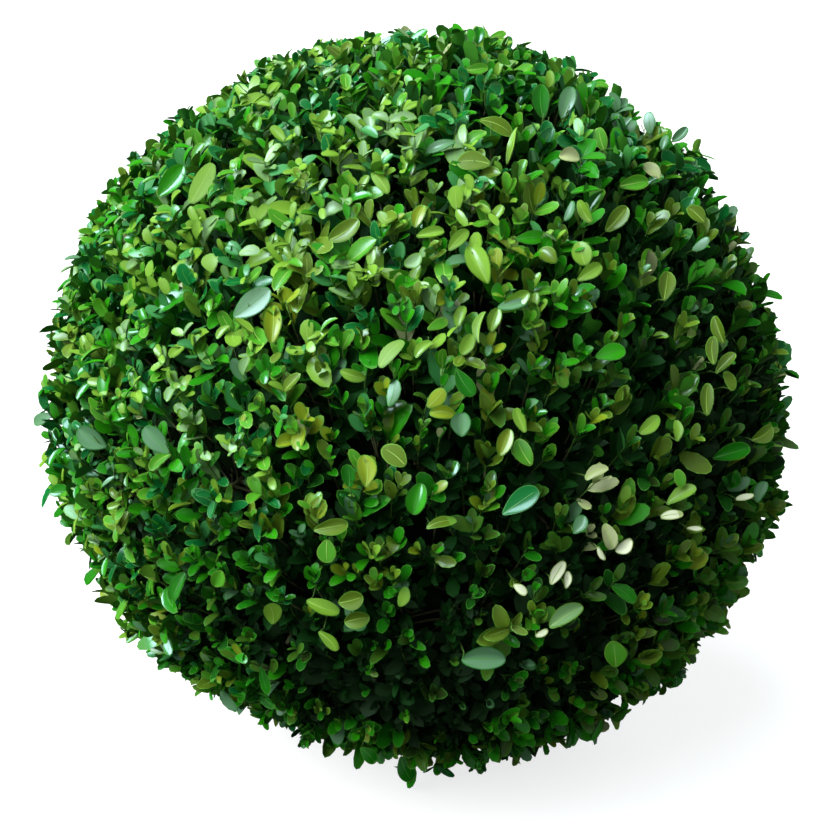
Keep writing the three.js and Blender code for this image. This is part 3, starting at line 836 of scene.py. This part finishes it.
# Leaves that stand out on the front, by kind: base and tip in the picture, and how wide they look
STANDOUTS = {
    # Pale blue-green leaves, partly painted sheen
    "silver": [
        (234, 317, 268, 289, 0.55), (169, 454, 144, 428, 0.55), (106, 447, 78, 429, 0.6),
        (462, 436, 462, 413, 0.85), (389, 406, 395, 380, 0.5),
        (462, 660, 505, 659, 0.5), (562, 118, 570, 86, 0.45), (650, 134, 648, 112, 0.5),
        (662, 149, 666, 135, 0.5), (673, 141, 687, 128, 0.5), (693, 250, 708, 238, 0.45),
        (455, 142, 426, 148, 0.4), (498, 308, 527, 301, 0.4), (565, 220, 573, 202, 0.4),
        (574, 533, 583, 516, 0.65), (757, 502, 765, 482, 0.5),
    ],
    "gold": [
        (272, 343, 270, 305, 0.42), (366, 487, 364, 456, 0.6), (500, 455, 510, 430, 0.55),
        (428, 407, 444, 390, 0.6), (430, 413, 455, 415, 0.5), (415, 227, 423, 205, 0.5),
    ],
    "lime": [
        (341, 371, 364, 378, 0.45), (416, 357, 430, 341, 0.4), (462, 354, 472, 335, 0.6),
        (479, 343, 482, 312, 0.25), (491, 331, 498, 309, 0.55), (525, 432, 516, 409, 0.4),
        (507, 164, 515, 127, 0.25), (191, 203, 211, 163, 0.42), (388, 193, 373, 172, 0.45),
        (417, 236, 443, 230, 0.4), (449, 250, 467, 230, 0.45), (585, 265, 580, 242, 0.8),
        (578, 280, 601, 265, 0.5), (591, 222, 579, 201, 0.4), (640, 433, 660, 418, 0.5),
        (677, 441, 678, 421, 0.45), (667, 504, 695, 487, 0.35), (319, 632, 337, 650, 0.45),
        (307, 601, 339, 611, 0.35), (273, 624, 270, 603, 0.7), (404, 110, 418, 101, 0.4),
        (400, 606, 405, 590, 0.6), (212, 272, 209, 254, 0.9), (380, 367, 401, 340, 0.4),
        (488, 283, 471, 244, 0.5), (500, 311, 528, 293, 0.45),
    ],
    "fresh": [
        (531, 465, 518, 441, 0.6), (604, 150, 599, 128, 0.55), (620, 186, 648, 180, 0.5),
        (616, 667, 614, 644, 0.75), (682, 487, 678, 471, 0.65), (327, 540, 327, 562, 0.8),
        (428, 329, 447, 320, 0.45), (465, 70, 487, 66, 0.45), (214, 586, 221, 572, 0.75),
    ],
    "vivid": [
        (596, 357, 625, 350, 0.55), (159, 196, 182, 165, 0.5),
        (472, 44, 470, 29, 0.5), (516, 239, 545, 234, 0.45), (571, 193, 597, 184, 0.3),
        (413, 514, 421, 485, 0.65),
    ],
    "deep": [
        (478, 44, 480, 26, 0.6), (401, 757, 411, 783, 0.55), (361, 748, 374, 764, 0.6),
        (713, 458, 750, 446, 0.4), (543, 118, 542, 84, 0.5), (456, 369, 473, 395, 0.5),
    ],
    "jade": [(503, 514, 538, 491, 0.5)],
    "olive": [
        (724, 343, 713, 318, 0.35), (714, 364, 713, 337, 0.4), (716, 373, 734, 353, 0.35),
        (707, 415, 709, 384, 0.42), (733, 390, 727, 372, 0.55), (490, 164, 458, 161, 0.6),
        (480, 120, 512, 132, 0.45), (664, 300, 669, 272, 0.6), (606, 231, 627, 207, 0.5),
        (704, 222, 689, 207, 0.65), (329, 240, 358, 220, 0.5), (427, 528, 452, 514, 0.35),
        (339, 603, 362, 597, 0.75), (345, 622, 368, 618, 0.7), (314, 530, 346, 525, 0.45),
        (405, 465, 383, 448, 0.7), (752, 440, 773, 428, 0.6), (556, 262, 541, 249, 0.8),
    ],
    "cream": [
        (586, 479, 607, 467, 0.4), (560, 156, 579, 157, 0.75),
        (660, 178, 646, 163, 0.6), (612, 549, 606, 528, 0.6),
    ],
    # The paler copy of cream, painted light, for those in the shade at the lower right
    "ivory": [
        (616, 551, 632, 541, 0.6), (551, 584, 564, 562, 0.45), (566, 588, 568, 573, 0.45),
        (736, 499, 753, 494, 0.3), (661, 517, 682, 510, 0.35), (687, 528, 702, 528, 0.3),
        (598, 547, 603, 560, 0.3), (536, 636, 547, 630, 0.4), (514, 585, 526, 594, 0.5),
    ],
    "mist": [
        (550, 627, 581, 605, 0.36), (405, 265, 420, 255, 0.7),
    ],
}
SHINING = {"silver": 0.48, "jade": 1.0}  # how far they turn to the lamps, so that they glint
SHINING_DROP = 0.14  # how far they turn down, so that the lower half glints more
BRIGHTEST, BRIGHTEST_BENDS = "jade", {"fold": 0.22, "curl": -0.08}  # the one that glints most
STANDOUT_WIDTH = 0.42  # least real width, of the length; a leaf that looks narrower is turned
STANDOUT_DEPTHS = range(3, 18)  # tried in turn for the base, until the tip keeps in the ball
STANDOUT_STRAY = 1  # by which the tip may pass the clipped surface
STANDOUT_BURIED = 5  # a tip deeper than this comes nearer the camera
STANDOUT_STRETCH = 1.15  # until the leaf is this much longer
STANDOUT_FACE_OUT = 0.3
LEAF_SPOTS = [  # along and across a leaf, where it may hide another
    (0, 0), (0.25, 0), (0.5, 0), (0.75, 0), (1, 0), (0.5, -0.9), (0.5, 0.9),
]
NEAR_LEAVES = 3 * LEAF_LONGEST  # leaves further off aren't compared
PASS_ROOM = (1.5, 3.0)  # millimetres behind that still count, and more of them at the tip


def stand_out(base_x, base_y, tip_x, tip_y, look, kind):
    """Start, way, face, length and width of a leaf seen at a place in the picture."""
    for depth in STANDOUT_DEPTHS:
        start = on_ball(base_x, base_y, depth)
        scale = np.dot(camera_place - start, towards_camera) / pixels_per_slope
        flat = scale * (np.array([tip_x - base_x, 0, 0]) + (base_y - tip_y) * camera_up)
        if depth_below_surface(start + flat) > -STANDOUT_STRAY:
            break
    end = start + flat
    longest = STANDOUT_STRETCH * np.linalg.norm(flat)
    while depth_below_surface(end) > STANDOUT_BURIED and np.linalg.norm(end - start) < longest:
        end = end + towards_camera
    length = min(np.linalg.norm(end - start), LEAF_LONGEST)
    way = unit(end - start)
    wanted = towards_camera + STANDOUT_FACE_OUT * unit(start - CENTRE)
    if kind in SHINING:
        wanted = towards_camera + SHINING[kind] * unit(np.array(KEY_WAY)) - SHINING_DROP * camera_up
    face = unit(wanted - dot(wanted, way) * way)
    width = max(look, STANDOUT_WIDTH)
    aside = np.cross(way, face)
    aside = aside * (1 if np.dot(aside, KEY_WAY) > 0 else -1)
    face = face * look / width + aside * math.sqrt(1 - (look / width) ** 2)
    return start, way, face, length, width * length


def in_front(leaves, others):
    """Which leaves hide a part of one of the others from the camera, or pass through it."""
    start, way, face, length, width = leaves
    across = np.cross(way, face) * width[:, None] / 2
    spots = np.stack([start + way * (length * v)[:, None] + across * c for v, c in LEAF_SPOTS], axis=1)
    sight = unit(camera_place - spots)
    hides = np.zeros(len(start), dtype=bool)
    for start, way, face, length, width in zip(*others):
        close = np.linalg.norm(spots[:, 0] - start, axis=1) < NEAR_LEAVES
        offset, ray = spots[close] - start, sight[close]
        behind = -(offset @ face) / (ray @ face)
        met = offset + behind[..., None] * ray
        along = met @ way / length
        aside = np.abs(met @ np.cross(way, face)) / (width / 2)
        covered = (along > 0) & (along < 1) & (aside < 1)
        covered = covered & (behind < PASS_ROOM[0] + PASS_ROOM[1] * along)
        hides[close] |= covered.any(axis=1)
    return hides


standouts = [(*stand_out(*place, kind), KIND_NAMES.index(kind))
             for kind, places in STANDOUTS.items() for place in places]
*large, large_kinds = [np.array(column) for column in zip(*standouts)]
clear = ~in_front(leaves, large)
leaves = [np.concatenate([a[clear], b]) for a, b in zip(leaves, large)]
leaf_kinds = np.concatenate([leaf_kinds[clear], large_kinds])
outer = np.concatenate([outer[clear], np.full(len(large_kinds), True)])
leaf_depth = np.concatenate([leaf_depth[clear], np.zeros(len(large_kinds))])
is_large = np.arange(len(leaf_kinds)) >= clear.sum()
large_form = leaf_form(len(large_kinds))
for bend, value in BRIGHTEST_BENDS.items():
    large_form[bend][large_kinds == KIND_NAMES.index(BRIGHTEST)] = value
form = {key: np.concatenate([value[clear], large_form[key]]) for key, value in form.items()}

# Undersides whose leaves have a rib of a colour
RIBS = {"young": (["young", "pale"], (146, 184, 84)), "old": (["old", "cool"], (70, 136, 50))}
# Leaves inside the ball are painted dark, as painted shade, and greener on the side towards the light,
# as painted light
INNER_LIGHT, INNER_LIGHT_SPREAD = 0.1, 0.3
INNER_SHADE_COLOURS = {"green": (20, 62, 18), "shaded": (26, 51, 23)}
INNER_ROUGHNESS, INNER_SPECULAR = 0.6, 0.12


def by_size(which):
    """The ordinary ones among some leaves, and the ones that stand out, with their forms."""
    sizes = which & ~is_large, which & is_large
    return [(chosen(leaves, size), chosen(form, size)) for size in sizes]


def joined_sheets(which, stations, back=False):
    ordinary, standing_out = by_size(which)
    return joined([
        leaf_sheets(*ordinary, stations, back),
        leaf_sheets(*standing_out, SMOOTH_STATIONS, back, SMOOTH_COLUMNS),
    ])


for index, (name, (colour, roughness, specular, _)) in enumerate(LEAF_KINDS.items()):
    foliage_piece(f"leaves_{name}", joined_sheets(outer & (leaf_kinds == index), FINE_STATIONS),
                  plain_material(f"leaf_{name}", colour, roughness, specular))

leaf_backs = np.array([kind[3] for kind in LEAF_KINDS.values()])[leaf_kinds]
for name, colour in BACK_COLOURS.items():
    foliage_piece(f"leaf_backs_{name}", joined_sheets(outer & (leaf_backs == name), BACK_STATIONS, True),
                  plain_material(f"leaf_back_{name}", colour, BACK_ROUGHNESS, BACK_SPECULAR))

ribbed = outer & (leaf_depth < RIB_DEPTH) & (leaves[3] > RIB_LENGTH)
for name, (undersides, colour) in RIBS.items():
    ordinary, standing_out = by_size(ribbed & np.isin(leaf_backs, undersides))
    grown = joined([leaf_ribs(*ordinary, RIB_STATIONS), leaf_ribs(*standing_out, SMOOTH_RIB_STATIONS)])
    foliage_piece(f"leaf_ribs_{name}", grown,
                  plain_material(f"leaf_rib_{name}", colour, BACK_ROUGHNESS, BACK_SPECULAR))

lightness = unit(leaves[0] - CENTRE) @ LIGHT_WAY
lightness = lightness + rng.normal(0, INNER_LIGHT_SPREAD, len(leaf_kinds))
inner = {"green": ~outer & (lightness > INNER_LIGHT), "shaded": ~outer & (lightness <= INNER_LIGHT)}
for name, which in inner.items():
    foliage_piece(f"leaves_inner_{name}",
                  leaf_sheets(chosen(leaves, which), chosen(form, which), INNER_STATIONS),
                  plain_material(f"leaf_inner_{name}", INNER_SHADE_COLOURS[name], INNER_ROUGHNESS,
                                 INNER_SPECULAR))


# Twigs
TIP_GAP = 0.5  # between a stem's end and the sprig's tip
YOUNG_SHARES, OLD_SHARES = (0.2, 0.42), (0.42, 0.7, 1.0)  # of a sprig's stem, from its tip back
YOUNG_RADII, OLD_RADII = [0.7, 0.55, 0.35], [1.4, 1.2, 0.95, 0.8, 0.7]  # from the foot up
STANDOUT_STEM, STANDOUT_STEM_MIDDLE, STANDOUT_STEM_BEND = 32, 10, 2
JOINT_STEPS = (6, 11)  # of a branch, between which sprigs join it
TWIG_SAG = 4

green_twig = plain_material("twig_green", (84, 122, 50), 0.5, 0.3)
brown_twig = plain_material("twig_brown", (84, 86, 54), 0.7, 0.25)

backs = [np.full(sprig_count, TIP_GAP), *(stem_lengths * share for share in YOUNG_SHARES)]
young_stems = np.stack([along_stem(back)[0] for back in backs], axis=1)
behind = -unit(towards_camera + unit(large[0] - CENTRE))
large_middle = large[0] + STANDOUT_STEM_MIDDLE * behind + STANDOUT_STEM_BEND * large[1]
large_stems = np.stack([large[0], large_middle, large[0] + STANDOUT_STEM * behind], axis=1)
young_stems = np.concatenate([young_stems, large_stems])
young_radii = np.tile(YOUNG_RADII, (len(young_stems), 1))
foliage_piece("twigs_green", tubes(young_stems[:, ::-1], young_radii), green_twig)

backs = [stem_lengths * share for share in OLD_SHARES]
old = np.stack([along_stem(back)[0] for back in backs], axis=1)
nearest = np.argmin(np.linalg.norm(old[:, -1, None] - branch_tips[None], axis=2), axis=1)
joint = branch_paths[nearest, rng.integers(*JOINT_STEPS, sprig_count)]
middle = (joint + old[:, -1]) / 2 - outwards * TWIG_SAG
old = np.concatenate([old, middle[:, None], joint[:, None]], axis=1)
foliage_piece("twigs_brown", joined([
    tubes(old[:, ::-1], np.tile(OLD_RADII, (sprig_count, 1))),
    tubes(branch_paths, branch_radii, BRANCH_SIDES),
]), brown_twig)


# Floor, light and world
FLOOR_SIZE = 30  # metres from the middle to each side
FLOOR_COLOUR, FLOOR_ROUGHNESS, FLOOR_SPECULAR, FLOOR_GLOW = (170, 170, 168), 0.9, 0.1, 0.75

floor_mesh = bpy.data.meshes.new("floor")
floor_mesh.from_pydata([(-FLOOR_SIZE, -FLOOR_SIZE, 0), (FLOOR_SIZE, -FLOOR_SIZE, 0),
                        (FLOOR_SIZE, FLOOR_SIZE, 0), (-FLOOR_SIZE, FLOOR_SIZE, 0)], [], [(0, 1, 2, 3)])
floor = bpy.data.objects.new("floor", floor_mesh)
put_in_scene(floor)
floor_material = plain_material("floor", FLOOR_COLOUR, FLOOR_ROUGHNESS, FLOOR_SPECULAR)
floor_shader = floor_material.node_tree.nodes["Principled BSDF"]
floor_shader.inputs["Emission Color"].default_value = (1, 1, 1, 1)
floor_shader.inputs["Emission Strength"].default_value = FLOOR_GLOW
floor_mesh.materials.append(floor_material)
floor.visible_diffuse = False
floor.visible_glossy = False


WARM_LIGHT, BLUE_LIGHT, PALE_LIGHT = (1.0, 0.99, 0.95), (0.62, 0.86, 1.0), (0.88, 0.96, 1.0)
# Name, where it comes from, energy, spread in degrees, colour, whether it lights and whether it glints
LAMPS = [
    ("key", KEY_WAY, 2.2, 44, WARM_LIGHT, True, False),
    ("sheen", KEY_WAY, 5.6, 30, BLUE_LIGHT, False, True),
    ("soft_key", KEY_WAY, 5.8, 86, PALE_LIGHT, True, False),
    ("fill_sky", (0, 0, 1), 1.15, 175, PALE_LIGHT, True, False),
    ("fill_front", (-0.4, -0.85, 0.35), 0.44, 110, PALE_LIGHT, True, True),
    ("fill_back", (0.52, 0.84, 0.15), 2.2, 72, PALE_LIGHT, True, False),
    ("fill_right", (0.95, 0.2, 0.2), 0.26, 90, PALE_LIGHT, True, True),
]
for name, towards, energy, spread, colour, lights, glints in LAMPS:
    lamp = bpy.data.objects.new(name, bpy.data.lights.new(name, "SUN"))
    lamp.data.energy = energy
    lamp.data.angle = math.radians(spread)
    lamp.data.color = colour
    x, y, z = towards
    lamp.rotation_euler = (math.atan2(math.hypot(x, y), z), 0, math.atan2(x, -y))
    lamp.visible_diffuse = lights
    lamp.visible_glossy = glints
    put_in_scene(lamp)

world = bpy.data.worlds.new("studio")
bpy.context.scene.world = world
world.use_nodes = True
world.node_tree.nodes["Background"].inputs["Color"].default_value = (1, 1, 1, 1)
world.cycles_visibility.diffuse = False
world.cycles_visibility.glossy = False

bpy.context.scene.view_settings.view_transform = "Standard"
bpy.context.scene.view_settings.look = "None"
